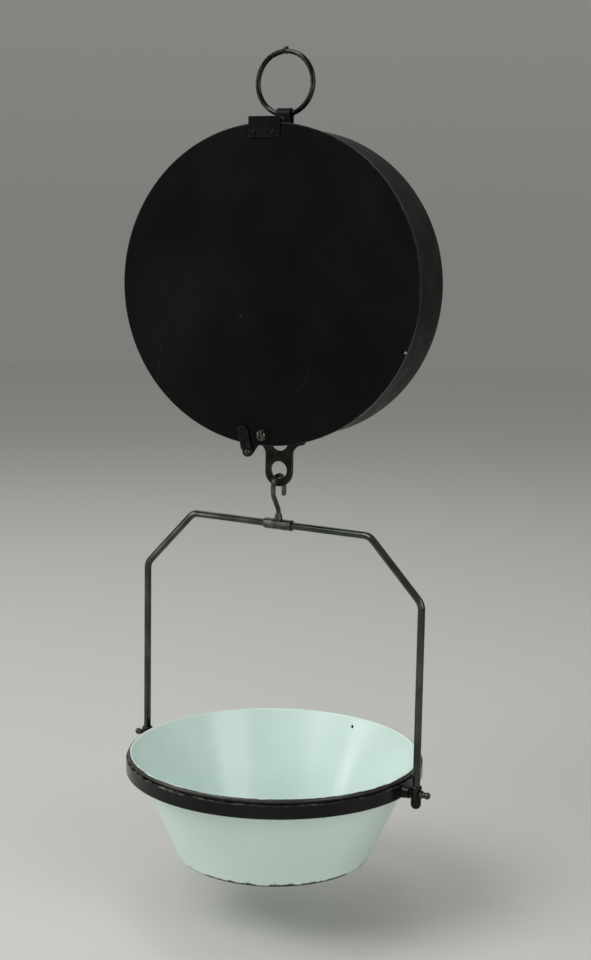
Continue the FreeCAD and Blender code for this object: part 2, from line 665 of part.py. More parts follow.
# Moving half of the hinge: a plate on the cover's face that curls over onto the pin.
plate = new_body("cover_leaf_body")
s = sketch(plate, "XZ_Plane", "cover_leaf_face", [[
    (hx0, 117.0), (hx0 + 2.0, 115.0, 2.0, "ccw"), (hx1 - 2.0, 115.0), (hx1, 117.0, 2.0, "ccw"),
    (hx1, hinge_up + hinge_rad), (hx0, hinge_up + hinge_rad)]], [(-12, 119.0, 1.2), (4, 119.0, 1.2)])
pad(plate, s, 1.2)
place(plate, 0, cover_face, drum_level)
strip = box("cover_leaf_strip", 14.3, 4.9, 1.2, -10.9, -33.1, drum_level + hinge_up + hinge_rad - 1.2)
knuckle = cyl("cover_knuckle", hinge_rad, 14.3, -10.9, hinge_y, drum_level + hinge_up, TO_X)
moving = fuse("cover_leaf_raw", [plate, strip, knuckle])
keep(cut("cover_leaf", moving, cyl("cover_leaf_bore", hinge_pin_rad + 0.05, 40, -24, hinge_y, drum_level + hinge_up, TO_X)), "hinge_cover_leaf")
keep(group("hinge_rivet_set", [
    rivet("hinge_rivet_a", 2.2, 1.1, 1.18, 2.2, -12, -33.2, drum_level + 119.0, TO_BACK),
    rivet("hinge_rivet_b", 2.2, 1.1, 1.18, 2.2, 4, -33.2, drum_level + 119.0, TO_BACK)]), "hinge_rivets")

# Latch ear under the cover's rim: a small triangle with a rounded end.
lx, lz = -15.0, -132.6
b = new_body("ear_body")
s = sketch(b, "XZ_Plane", "ear_face", [[
    (lx - 3.9, lz - 1.6), (lx + 3.6, lz - 2.2, 4.2, "ccw"), (lx + 10.0, -125.2), (lx - 6.6, -122.0)]], [(lx, lz, 1.6)])
pad(b, s, 1.5)
place(b, 0, -28.6, drum_level)
trim = cyl("ear_trim", cover_rad, 20, 0, -36, drum_level, TO_Y)
keep(cut("ear_cut", b, trim), "latch_ear")
pivot = fuse("latch_screw_raw", [
    rivet("latch_screw_front", 2.8, 1.7, 1.6, 4.0, lx, -31.95, drum_level + lz, TO_BACK),
    dome("latch_screw_back", 2.6, 1.0, lx, -28.6, drum_level + lz, TO_Y)])
keep(cut("latch_screw_cut", pivot, box("latch_screw_slot", 0.8, 1.2, 8, lx - 0.4, -33.95, drum_level + lz - 4.0)), "latch_screw")

# Cover screw: a captive slotted stud with a stepped round head.
head = fuse("cover_screw_raw", [
    cyl("cover_screw_collar", 4.4, 1.2, -2, -32, drum_level - 118.5, TO_BACK),
    cyl("cover_screw_neck", 2.8, 1.6, -2, -33.2, drum_level - 118.5, TO_BACK),
    cyl("cover_screw_body", 4.1, 1.2, -2, -34.6, drum_level - 118.5, TO_BACK),
    dome("cover_screw_dome", 4.1, 1.9, -2, -35.8, drum_level - 118.5, TO_BACK),
    cyl("cover_screw_shank", 2.0, 8.0, -2, -32, drum_level - 118.5, TO_Y)])
keep(cut("cover_screw_cut", head, box("cover_screw_slot", 1.1, 2.0, 10, -2.55, -38.2, drum_level - 123.5)), "cover_screw")

# ================================================================ cover latch
# A strap that pivots on the ear and steps forward over the cover's edge, its free end bent outward.
b = new_body("latch_side_body")
s = sketch(b, "YZ_Plane", "latch_side", [[
    (-30.4, -5.0), (-30.4, 4.0), (-32.35, 4.0), (-32.35, 17.0), (-34.2, 21.3), (-35.4, 20.8), (-33.6, 16.7),
    (-33.6, 2.8), (-31.65, 2.8), (-31.65, -5.0)]])
pad(b, s, 12.0)
place(b, -6.0, 0, 0)
b2 = new_body("latch_front_body")
s = sketch(b2, "XZ_Plane", "latch_front", [[
    (-4.2, 0), (0, -4.2, 4.2, "ccw"), (4.2, 0, 4.2, "ccw"), (4.2, 18.0), (1.8, 21.0, 3.0, "ccw"), (-1.8, 21.0), (-4.2, 18.0, 3.0, "ccw")]])
pad(b2, s, 12.0)
place(b2, 0, -26.0, 0)
strap = common("latch_strap", b, b2)
strap = cut("latch_cut", strap, cyl("latch_bore", 1.65, 20, 0, -40, 0, TO_Y))
place(strap, lx, 0, drum_level + lz, (0, 1, 0), -11.0)
keep(strap, "cover_latch")

# ================================================================ moving load frame
bottom_arc = shell_rad + 0.45
b = new_body("load_plate_body")


def on_arc(x, r):
    return -math.sqrt(r * r - x * x)


R = bottom_arc.v
s = sketch(b, "XZ_Plane", "load_plate_face", [[
    (16.0, -56.0), (8.0, -56.0), (8.0, -128.0), (-8.0, -128.0, 8.17, "cw"), (-8.0, -56.0), (-16.0, -56.0),
    (-16.0, on_arc(16.0, R)), (-20.8, on_arc(20.8, R)), (-21.1, on_arc(20.8, R) - 4.6, 2.5, "ccw"),
    (-eye_end, -139.3, 9.5, "cw"), (-eye_end, -152.0), (0, -152.0 - eye_end, eye_end, "ccw"), (eye_end, -152.0, eye_end, "ccw"), (eye_end, -139.3),
    (21.1, on_arc(20.8, R) - 4.6, 9.5, "cw"), (20.8, on_arc(20.8, R), 2.5, "ccw"), (16.0, on_arc(16.0, R))]],
    [(0, eye_drop, eye_rad), (12, -61, 2.0), (-12, -61, 2.0)])
pad(b, s, plate_thick)
place(b, 0, plate_thick / 2.0, drum_level)
keep(b, "load_plate")

b = new_body("crossbar_body")
s = sketch(b, "XZ_Plane", "crossbar_face", [rounded(-48, 48, -66, -54, 2)], [(12, -61, 2.0), (-12, -61, 2.0)])
pad(b, s, 8.0)
s = sketch(b, "XY_Plane", "crossbar_pockets", [
    [(7.95, -5.55), (16.05, -5.55), (16.05, -2.45), (7.95, -2.45)],
    [(-16.05, -5.55), (-7.95, -5.55), (-7.95, -2.45), (-16.05, -2.45)]], offset=-55.9)
pocket(b, s, 20.0, False)
s = sketch(b, "XY_Plane", "crossbar_holes", [], [(spring_x, -4.0, 2.55), (-spring_x, -4.0, 2.55), (1.5, -4.0, 1.5)], offset=-70.0)
pocket(b, s, 20.0, True)
place(b, 0, 4.0, drum_level)
keep(b, "load_crossbar")
riv = []
for k, px in enumerate((-12, 12)):
    riv.append(fuse("bar_rivet_%d" % k, [
        cyl("bar_rivet_shank_%d" % k, 1.98, 8.0, px, -4.0, drum_level - 61.0, TO_Y),
        dome("bar_rivet_front_%d" % k, 3.4, 1.8, px, 4.0, drum_level - 61.0, TO_Y),
        dome("bar_rivet_back_%d" % k, 3.4, 1.8, px, -4.0, drum_level - 61.0, TO_BACK)]))
keep(group("bar_rivet_set", riv), "crossbar_rivets")
keep(group("low_plug_set", lows), "spring_bottom_plugs")
keep(group("low_nut_set", lownuts), "spring_bottom_nuts")

# Rack and pinion, module 0.7, 16 teeth, 20 degree pressure angle. The rack is on the -X side,
# so that the pointer turns clockwise on the dial as the load goes down.
m, zt, alpha = gear_module.v, int(gear_teeth.v), math.radians(20.0)
pitch_r = m * zt / 2.0
base_r = pitch_r * math.cos(alpha)
tip_r, root_r = pitch_r + 0.85 * m, pitch_r - 1.2 * m
slack = 0.09                                     # each tooth is this much thinner at the pitch line


def inv(a):
    return math.tan(a) - a


def flank(r):
    """Half the tooth's angle at radius r."""
    half = (math.pi * m / 2.0 - slack) / (2.0 * pitch_r)
    if r <= base_r:
        return half + inv(alpha)
    return half + inv(alpha) - inv(math.acos(base_r / r))


outline = []
for i in range(zt):
    mid = math.pi + i * 2.0 * math.pi / zt       # one tooth points along -X
    rs = [root_r] + [base_r + (tip_r - base_r) * k / 5.0 for k in range(6)]
    for r in rs:
        a = mid - flank(r)
        outline.append(V(r * math.cos(a), 0, r * math.sin(a)))
    for r in reversed(rs):
        a = mid + flank(r)
        outline.append(V(r * math.cos(a), 0, r * math.sin(a)))
outline.append(outline[0])
gear = Part.Face(Part.makePolygon(outline)).extrude(V(0, 5.2, 0))
gear.translate(V(0, -2.6, 0))
hub = Part.makeCylinder(3.0, 8.7, V(0, -5.6, 0), V(0, 1, 0))
bore = Part.makeCylinder(shaft_rad.v, 20, V(0, -10, 0), V(0, 1, 0))
o = doc.addObject("Part::Feature", "pinion_gear")
o.Shape = gear.fuse(hub).cut(bore).removeSplitter()
place(o, 0, 0, drum_level)
pinion = o

pts = []
xp = -pitch_r
x_tip, x_root = xp + 0.85 * m, xp - 1.2 * m
half_t = (math.pi * m / 2.0 - slack) / 2.0
z_lo, z_hi = -8.5, 42.0
n_lo, n_hi = int(math.ceil((z_lo + 1.2) / (math.pi * m) - 0.5)), int(math.floor((z_hi - 1.2) / (math.pi * m) - 0.5))
pts = [V(-11.5, 0, -54.0), V(6.0, 0, -54.0), V(6.0, 0, -50.0), V(x_root, 0, -50.0)]
for i in range(n_lo, n_hi + 1):
    zc = (i + 0.5) * math.pi * m                 # tooth centres; a gap sits at z = 0
    ha, hb = half_t + (xp - x_root) * math.tan(alpha), half_t - (x_tip - xp) * math.tan(alpha)
    pts += [V(x_root, 0, zc - ha), V(x_tip, 0, zc - hb), V(x_tip, 0, zc + hb), V(x_root, 0, zc + ha)]
pts += [V(x_root, 0, z_hi), V(-11.5, 0, z_hi)]
pts.append(pts[0])
rack = Part.Face(Part.makePolygon(pts)).extrude(V(0, 5.0, 0))
rack.translate(V(0, -2.5, 0))
rack = rack.cut(Part.makeCylinder(1.5, 10, V(1.5, 0, -56), V(0, 0, 1)))
o = doc.addObject("Part::Feature", "rack_bar")
o.Shape = rack
place(o, 0, 0, drum_level)
keep(o, "rack")
keep(rivet("rack_screw_all", 2.4, 1.5, 1.48, 12.0, 1.5, 0, drum_level - 50.0, None), "rack_screw")

# ================================================================ pointer
keep(cyl("shaft_rod", shaft_rad, 34.0, 0, -9.6, drum_level, TO_Y), "pointer_shaft")
keep(pinion, "pinion")
b = new_body("pointer_body")
s = sketch(b, "XZ_Plane", "pointer_face", [[
    (0.7, 100.0), (-0.7, 100.0, 0.75, "ccw"), (-2.6, 9.0), (-3.6, 6.4, 7.34, "ccw"),
    (-3.6, -6.4, 7.34, "ccw"), (-2.4, -12.0), (-4.2, -34.0), (4.2, -34.0, 5.5, "ccw"), (2.4, -12.0),
    (3.6, -6.4), (3.6, 6.4, 7.34, "ccw"), (2.6, 9.0, 7.34, "ccw")]], [(0, 0, 3.0)])
pad(b, s, 0.8)
place(b, 0, 24.4, drum_level)
keep(b, "pointer")
b = new_body("hub_body")
s = sketch(b, "XY_Plane", "hub_profile", [[(shaft_rad, 22.3), (5.5, 22.3), (5.5, 23.6), (2.98, 23.6), (2.98, 24.4), (shaft_rad, 24.4)]])
revolve(b, s)
place(b, 0, 0, drum_level)
keep(b, "pointer_hub")
keep(dome("cap_dome", 4.4, 1.8, 0, 24.4, drum_level, TO_Y), "pointer_cap")

# ================================================================ hook, with the bail's sleeve
# 4 mm wire bent over the eye's lower bar: shank up from the sleeve, out to the front, over and down at the back.
b = new_body("hook_body")
prof = sketch(b, "XY_Plane", "hook_section", [], [(0, 0, hook_rod)])
end = dim(-374.0)
loop_c = hook_pivot - 8.0 - end                  # centre height of the loop above the shank's end
th = math.radians(32.0)                          # the shank leans out by this much before the loop
run = (8.5 - 20.0 * (1 - math.cos(th))) / math.sin(th)
y3 = loop_c - 4.6                                # below the loop the wire first runs straight down
y2 = y3 - 10.0 * math.sin(th)
y1 = y2 - run * math.cos(th)
y0 = y1 - 10.0 * math.sin(th)
x1 = -10.0 * (1 - math.cos(th))
x2 = x1 - run * math.sin(th)
path = sketch(b, "YZ_Plane", "hook_path", [[None,
    (0, 0), (0, y0), (x1, y1, 10.0, "ccw"), (x2, y2), (-8.5, y3, 10.0, "cw"), (-8.5, loop_c),
    (-0.5, loop_c + 8.0, 8.0, "cw"), (7.5, loop_c, 8.0, "cw"), (7.5, loop_c - 8.6)]])
doc.recompute()
pipe = b.newObject("PartDesign::AdditivePipe", "hook_pipe")
pipe.Profile = prof
pipe.Spine = (path, ["Edge%d" % (i + 1) for i in range(path.GeometryCount)])
doc.recompute()
hook_tipround = cone("hook_tip_nose", 1.9, 0.9, 1.3, 0, 7.5, loop_c.v - 8.55, DOWN)
hk = fuse("hook_all", [b, hook_tipround])
hk.Placement = FreeCAD.Placement(V(0, 0, end.v), FreeCAD.Rotation(V(0, 0, 1), YAW))
keep(hk, "hook")
col = cone("collar_cone", 3.6, 2.7, 5.1, 0, 0, bail_level + 3.6)
colcut = fuse("collar_tools", [cyl("collar_bore", 2.0, 12, 0, 0, bail_level + 2.0),
                               cyl("collar_saddle", 4.5, 20, -10, 0, bail_level, TO_X)])
cc = cut("collar_cut", col, colcut)
cc.Placement = FreeCAD.Placement(V(0, 0, 0), FreeCAD.Rotation(V(0, 0, 1), YAW))
keep(cc, "hook_collar")
b = new_body("sleeve_body")
s = sketch(b, "XZ_Plane", "sleeve_profile", [[
    (-13.5, rod_rad + 0.05), (13.5, rod_rad + 0.05), (13.5, 4.2), (13.2, 4.5), (-12.0, 4.5), (-13.5, 3.9)]])
revolve(b, s, "H_Axis")
s = sketch(b, "XY_Plane", "sleeve_hole", [], [(0, 0, 2.02)])
pocket(b, s, 10.0, True)
b.Placement = FreeCAD.Placement(V(0, 0, bail_level.v), FreeCAD.Rotation(V(0, 0, 1), YAW))
b.setExpression("Placement.Base.z", "dims.bail_level")
keep(b, "bail_sleeve")

# ================================================================ bail
# 6 mm round rod: straight top bar, two sloping shoulders and two vertical legs, with bent corners.
leg_end = trunnion_level + 3.2


def corner(p, q, r, rad):
    """Tangent points of an arc of radius rad at corner q between p and r."""
    u = V(p[0] - q[0], p[1] - q[1], 0).normalize()
    w = V(r[0] - q[0], r[1] - q[1], 0).normalize()
    ang = math.acos(max(-1, min(1, u.dot(w))))
    t = rad / math.tan(ang / 2.0)
    a, c = V(q[0], q[1], 0) + u * t, V(q[0], q[1], 0) + w * t
    return (a.x, a.y), (c.x, c.y)


hb, ht, rb = bail_half.v, bail_top_half.v, bail_bend.v
zl, z1, z2 = 0.0, bail_corner.v - leg_end.v, bail_level.v - leg_end.v
P = [(-hb, zl), (-hb, z1), (-ht, z2), (ht, z2), (hb, z1), (hb, zl)]
path_pts = [None, P[0]]
for i in range(1, 5):
    a, c = corner(P[i - 1], P[i], P[i + 1], rb)
    path_pts += [a, (c[0], c[1], rb, "cw")]
path_pts.append(P[5])
b = new_body("bail_body")
prof = sketch(b, "XY_Plane", "bail_section", [], [(-bail_half, 0, rod_rad)])
path = sketch(b, "XZ_Plane", "bail_path", [path_pts])
doc.recompute()
pipe = b.newObject("PartDesign::AdditivePipe", "bail_pipe")
pipe.Profile = prof
pipe.Spine = (path, ["Edge%d" % (i + 1) for i in range(path.GeometryCount)])
doc.recompute()
b.Placement = FreeCAD.Placement(V(0, 0, leg_end.v), FreeCAD.Rotation(V(0, 0, 1), YAW))
b.setExpression("Placement.Base.z", "dims.trunnion_level + 3.2")
keep(b, "bail_rod")

yaw = FreeCAD.Rotation(V(0, 0, 1), YAW)
for side, label in ((-1, "bail_end_left"), (1, "bail_end_right")):
    b = new_body(label + "_body")
    s = sketch(b, "XZ_Plane", label + "_profile", [[
        (0, -12.8), (4.2, -8.6, 4.2, "ccw"), (4.2, 3.4), (4.6, 4.0), (4.6, 5.6), (4.1, 6.3), (rod_rad, 6.3), (rod_rad, 3.2), (0, 3.2)]])
    revolve(b, s)
    s = sketch(b, "YZ_Plane", label + "_bore", [], [(0, 0, pin_bore)])
    pocket(b, s, 10.0, False)
    s = sketch(b, "YZ_Plane", label + "_bore2", [], [(0, 0, pin_bore)])
    pocket(b, s, 10.0, True)
    at = yaw.multVec(V(side * hb, 0, trunnion_level.v))
    b.Placement = FreeCAD.Placement(at, yaw)
    keep(b, label)

# ================================================================ hoop
b = new_body("hoop_body")
s = sketch(b, "XZ_Plane", "hoop_profile", [[
    (120.4, -4.1), (hoop_out - 0.6, -4.1), (hoop_out, -4.7, 0.6, "cw"), (hoop_out, -14.9), (hoop_out - 0.6, -15.5, 0.6, "cw"),
    (hoop_in, -15.5), (hoop_in, -6.1), (120.4, -6.1)]])
revolve(b, s)
place(b, 0, 0, rim_level)
keep(b, "hoop_band")
lugs, pins = [], []
for k, (side, way) in enumerate(((-1, TO_LEFT), (1, TO_X))):
    c = cone("lug_cone_%d" % k, 5.9, 4.9, 8.2, side * 122.0, 0, trunnion_level, way)
    tools = fuse("lug_tools_%d" % k, [cyl("lug_hoop_trim_%d" % k, hoop_out, 60, 0, 0, trunnion_level - 30.0),
                                      cyl("lug_pin_bore_%d" % k, pin_rad, 30, side * 120.0, 0, trunnion_level, way)])
    lugs.append(cut("hoop_lug_%d" % k, c, tools))
    pins.append(fuse("trunnion_pin_%d" % k, [
        cyl("pin_shank_%d" % k, pin_rad, 20.4, side * 125.0, 0, trunnion_level, way),
        cone("pin_flare_%d" % k, 3.5, 2.3, 2.4, side * 140.15, 0, trunnion_level, way),
        ball("pin_ball_%d" % k, 2.85, side * 145.4, 0, trunnion_level)]))
g = group("hoop_lug_set", lugs)
g.Placement = FreeCAD.Placement(V(0, 0, 0), yaw)
keep(g, "hoop_lugs")
g = group("trunnion_pin_set", pins)
g.Placement = FreeCAD.Placement(V(0, 0, 0), yaw)
keep(g, "trunnion_pins")

# ================================================================ pan
# Spun steel bowl, 1.2 mm wall, with a rolled rim that rests on the hoop and a small hanging hole in the wall.
slope = (119.3 - 83.0) / 80.6
b = new_body("pan_body")
w = 1.2 * math.sqrt(1 + slope * slope)
s = sketch(b, "XZ_Plane", "pan_profile", [[
    (0, -pan_depth), (79.6, -pan_depth), (83.0, -84.6, 4.3, "ccw"), (119.3 + slope * 2.4, -1.6), (119.3 + slope * 2.4 - w, -1.6),
    (83.0 - w + 0.2, -84.2), (79.0, -86.8, 3.3, "cw"), (0, -86.8)]])
revolve(b, s)
place(b, 0, 0, rim_level)
roll = doc.addObject("Part::Torus", "pan_roll")
roll.Radius1 = 121.0
roll.Radius2 = 1.9
place(roll, 0, 0, rim_level - 1.9)
pan = fuse("pan_raw", [b, roll])
hole_dir = (0.242, 0.970)
hl = math.hypot(*hole_dir)
hole = doc.addObject("Part::Cylinder", "pan_hole")
hole.Radius = 1.4
hole.Height = 20
hole.Placement = FreeCAD.Placement(V(106 * hole_dir[0] / hl, 106 * hole_dir[1] / hl, rim_level.v - 8.0),
                                   FreeCAD.Rotation(V(0, 0, 1), V(hole_dir[0] / hl, hole_dir[1] / hl, -slope * 0.0)))
keep(cut("pan_cut", pan, hole), "pan")

# ---------------------------------------------------------------- checks and export
doc.recompute()
for o in doc.Objects:
    if "Invalid" in o.State or "Error" in o.State:
        raise RuntimeError("failed object: %s %s %s" % (o.Name, o.Label, o.State))
labels = [o.Label for o in nodes]
if len(labels) != len(set(labels)):
    raise RuntimeError("two sub-parts share a label")
if len(labels) > 60:
    raise RuntimeError("too many sub-parts")
os.makedirs("parts", exist_ok=True)
for o in nodes:
    shp = o.Shape
    if shp.isNull() or not shp.isValid() or not shp.Solids:
        raise RuntimeError("bad shape: " + o.Label)
for old in os.listdir("parts"):
    if old.endswith(".step"):
        os.remove(os.path.join("parts", old))
for o in nodes:
    o.Shape.exportStep("parts/%s.step" % o.Label)
    bb = o.Shape.BoundBox
    print("%-22s solids %d vol %10.1f  x %.1f..%.1f y %.1f..%.1f z %.1f..%.1f" % (
        o.Label, len(o.Shape.Solids), o.Shape.Volume, bb.XMin, bb.XMax, bb.YMin, bb.YMax, bb.ZMin, bb.ZMax))
print("nodes", len(nodes))
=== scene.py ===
import json
import math
import random

import bpy
import bmesh
from mathutils import Matrix, Vector


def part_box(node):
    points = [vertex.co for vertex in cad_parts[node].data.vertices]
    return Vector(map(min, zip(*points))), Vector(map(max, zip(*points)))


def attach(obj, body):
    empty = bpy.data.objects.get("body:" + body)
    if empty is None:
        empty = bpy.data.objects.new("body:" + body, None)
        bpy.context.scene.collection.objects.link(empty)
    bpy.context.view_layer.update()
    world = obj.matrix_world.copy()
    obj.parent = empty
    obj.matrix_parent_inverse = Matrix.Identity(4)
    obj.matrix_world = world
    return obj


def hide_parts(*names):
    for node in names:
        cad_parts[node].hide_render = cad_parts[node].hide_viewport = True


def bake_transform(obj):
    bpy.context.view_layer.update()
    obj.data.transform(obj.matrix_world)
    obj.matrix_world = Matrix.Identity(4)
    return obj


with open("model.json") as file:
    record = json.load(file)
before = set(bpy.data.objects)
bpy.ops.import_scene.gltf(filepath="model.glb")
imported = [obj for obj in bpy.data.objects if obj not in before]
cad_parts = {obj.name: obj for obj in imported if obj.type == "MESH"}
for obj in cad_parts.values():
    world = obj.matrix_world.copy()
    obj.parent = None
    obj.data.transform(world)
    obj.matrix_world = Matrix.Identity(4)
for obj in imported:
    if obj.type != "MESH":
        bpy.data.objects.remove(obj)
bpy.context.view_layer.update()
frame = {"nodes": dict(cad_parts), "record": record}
NODES = frame["nodes"]


random.seed(7)

# ------------------------------------------------------------------ where things are, from the frame
shell_lo, shell_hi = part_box("drum_shell")
cover_lo, cover_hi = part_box("back_cover")
pan_lo, pan_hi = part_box("pan")
dial_lo, dial_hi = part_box("dial_plate")
CX, CZ = 0.0, (cover_lo.z + cover_hi.z) / 2.0       # drum axis
COVER_R = (cover_hi.x - cover_lo.x) / 2.0
RIM_Z, BASE_Z = pan_hi.z, pan_lo.z
YAW = math.radians(-10.5)


# ------------------------------------------------------------------ material building
class Mat:
    """A node material with short calls for the nodes it uses. Coordinates are the row frame's, in metres."""

    def __init__(self, name):
        self.m = bpy.data.materials.new(name)
        self.m.use_nodes = True
        self.nt = self.m.node_tree
        self.nt.nodes.clear()
        self.out = self.nt.nodes.new("ShaderNodeOutputMaterial")
        self.b = self.nt.nodes.new("ShaderNodeBsdfPrincipled")
        self.nt.links.new(self.b.outputs[0], self.out.inputs["Surface"])
        self.tc = self.nt.nodes.new("ShaderNodeTexCoord").outputs["Object"]
        self._xyz = None

    def node(self, kind, **kw):
        n = self.nt.nodes.new(kind)
        for k, v in kw.items():
            setattr(n, k, v)
        return n

    def put(self, socket, v):
        if v is None:
            return
        if isinstance(v, bpy.types.NodeSocket):
            self.nt.links.new(v, socket)
        elif isinstance(v, (tuple, list)):
            socket.default_value = tuple(v) + ((1.0,) if len(v) == 3 and len(socket.default_value) == 4 else ())
        else:
            socket.default_value = v

    def set(self, **kw):
        for k, v in kw.items():
            self.put(self.b.inputs[k.replace("_", " ")], v)

    @property
    def xyz(self):
        if self._xyz is None:
            s = self.node("ShaderNodeSeparateXYZ")
            self.nt.links.new(self.tc, s.inputs[0])
            self._xyz = tuple(s.outputs)
        return self._xyz

    def stretch(self, x, y, z, rot=(0, 0, 0)):
        n = self.node("ShaderNodeMapping")
        self.put(n.inputs["Vector"], self.tc)
        n.inputs["Scale"].default_value = (x, y, z)
        n.inputs["Rotation"].default_value = rot
        return n.outputs[0]

    def noise(self, scale, detail=4.0, rough=0.55, dist=0.0, vec=None):
        n = self.node("ShaderNodeTexNoise")
        self.put(n.inputs["Vector"], vec or self.tc)
        n.inputs["Scale"].default_value = scale
        n.inputs["Detail"].default_value = detail
        n.inputs["Roughness"].default_value = rough
        n.inputs["Distortion"].default_value = dist
        return n.outputs[0]

    def cells(self, scale, vec=None, feature="F1", randomness=1.0):
        n = self.node("ShaderNodeTexVoronoi", feature=feature)
        self.put(n.inputs["Vector"], vec or self.tc)
        n.inputs["Scale"].default_value = scale
        n.inputs["Randomness"].default_value = randomness
        return n

    def calc(self, op, a, b=0.0, c=None, clamp=False):
        n = self.node("ShaderNodeMath", operation=op, use_clamp=clamp)
        self.put(n.inputs[0], a)
        self.put(n.inputs[1], b)
        if c is not None:
            self.put(n.inputs[2], c)
        return n.outputs[0]

    def span(self, v, lo, hi, a=0.0, b=1.0, smooth=True):
        """v from lo..hi to a..b, held at the ends."""
        n = self.node("ShaderNodeMapRange", interpolation_type="SMOOTHSTEP" if smooth else "LINEAR")
        self.put(n.inputs[0], v)
        for i, q in ((1, lo), (2, hi), (3, a), (4, b)):
            self.put(n.inputs[i], q)
        return n.outputs[0]

    def mix(self, f, a, b):
        n = self.node("ShaderNodeMix", data_type="RGBA")
        self.put(n.inputs[0], f)
        self.put(n.inputs[6], a)
        self.put(n.inputs[7], b)
        return n.outputs[2]

    def mixf(self, f, a, b):
        n = self.node("ShaderNodeMix", data_type="FLOAT")
        self.put(n.inputs[0], f)
        self.put(n.inputs[2], a)
        self.put(n.inputs[3], b)
        return n.outputs[0]

    def dist(self, x, y, z, flat=None):
        """Distance from a point; flat drops one axis."""
        n = self.node("ShaderNodeVectorMath", operation="SUBTRACT")
        self.put(n.inputs[0], self.tc)
        n.inputs[1].default_value = (x, y, z)
        m = self.node("ShaderNodeVectorMath", operation="MULTIPLY")
        self.put(m.inputs[0], n.outputs[0])
        m.inputs[1].default_value = {None: (1, 1, 1), "x": (0, 1, 1), "y": (1, 0, 1), "z": (1, 1, 0)}[flat]
        k = self.node("ShaderNodeVectorMath", operation="LENGTH")
        self.put(k.inputs[0], m.outputs[0])
        return k.outputs["Value"]

    def bevel(self, radius, normal=None):
        n = self.node("ShaderNodeBevel", samples=4)
        n.inputs["Radius"].default_value = radius
        self.put(n.inputs["Normal"], normal)
        return n.outputs[0]

    def edges(self, radius, lo=0.985, hi=0.90):
        """1 on sharp edges, 0 on flats."""
        g = self.node("ShaderNodeNewGeometry")
        d = self.node("ShaderNodeVectorMath", operation="DOT_PRODUCT")
        self.put(d.inputs[0], self.bevel(radius))
        self.put(d.inputs[1], g.outputs["Normal"])
        return self.span(d.outputs["Value"], lo, hi, 0.0, 1.0)

    def bump(self, height, strength, distance, normal=None):
        n = self.node("ShaderNodeBump")
        n.inputs["Strength"].default_value = strength
        n.inputs["Distance"].default_value = distance
        self.put(n.inputs["Height"], height)
        self.put(n.inputs["Normal"], normal)
        return n.outputs[0]


def steel(name, dark, light, rough=(0.3, 0.5), scale=60.0, wear=0.5, bevel=0.0004, bump=0.35, rust=None, metallic=0.9, edge=0.0):
    """Handled bare or blackened steel: dark and light patches, fine scratches, edges rubbed brighter."""
    m = Mat(name)
    big = m.noise(scale, 5, 0.6)
    fine = m.noise(scale * 9, 3, 0.6)
    streak = m.noise(scale * 3, 3, 0.5, 0.0, m.stretch(1, 1, 0.12))
    f = m.span(big, 0.5 - 0.22 * wear, 0.5 + 0.28, 0, 1)
    f = m.calc("MULTIPLY_ADD", streak, 0.35, m.calc("MULTIPLY", f, 0.75), clamp=True)
    col = m.mix(f, dark, light)
    if rust:
        spots = m.span(m.noise(scale * 2.2, 6, 0.7), 0.60, 0.72, 0, 0.7)
        col = m.mix(spots, col, rust)
    if edge > 0:
        e = m.calc("MULTIPLY", m.edges(0.0007), m.span(m.noise(scale * 2.5, 4, 0.6), 0.38, 0.62, 0.25, 1.0))
        col = m.mix(m.calc("MULTIPLY", e, edge), col, tuple(min(1.0, c * 2.4 + 0.05) for c in light))
    r = m.span(m.calc("ADD", m.calc("MULTIPLY", big, 0.6), m.calc("MULTIPLY", fine, 0.4)), 0.3, 0.7, rough[0], rough[1], False)
    m.set(Base_Color=col, Metallic=metallic, Roughness=r)
    h = m.calc("ADD", m.calc("MULTIPLY", fine, 0.6), m.calc("MULTIPLY", streak, 0.4))
    m.set(Normal=m.bump(h, bump, 0.0001, m.bevel(bevel)))
    return m.m


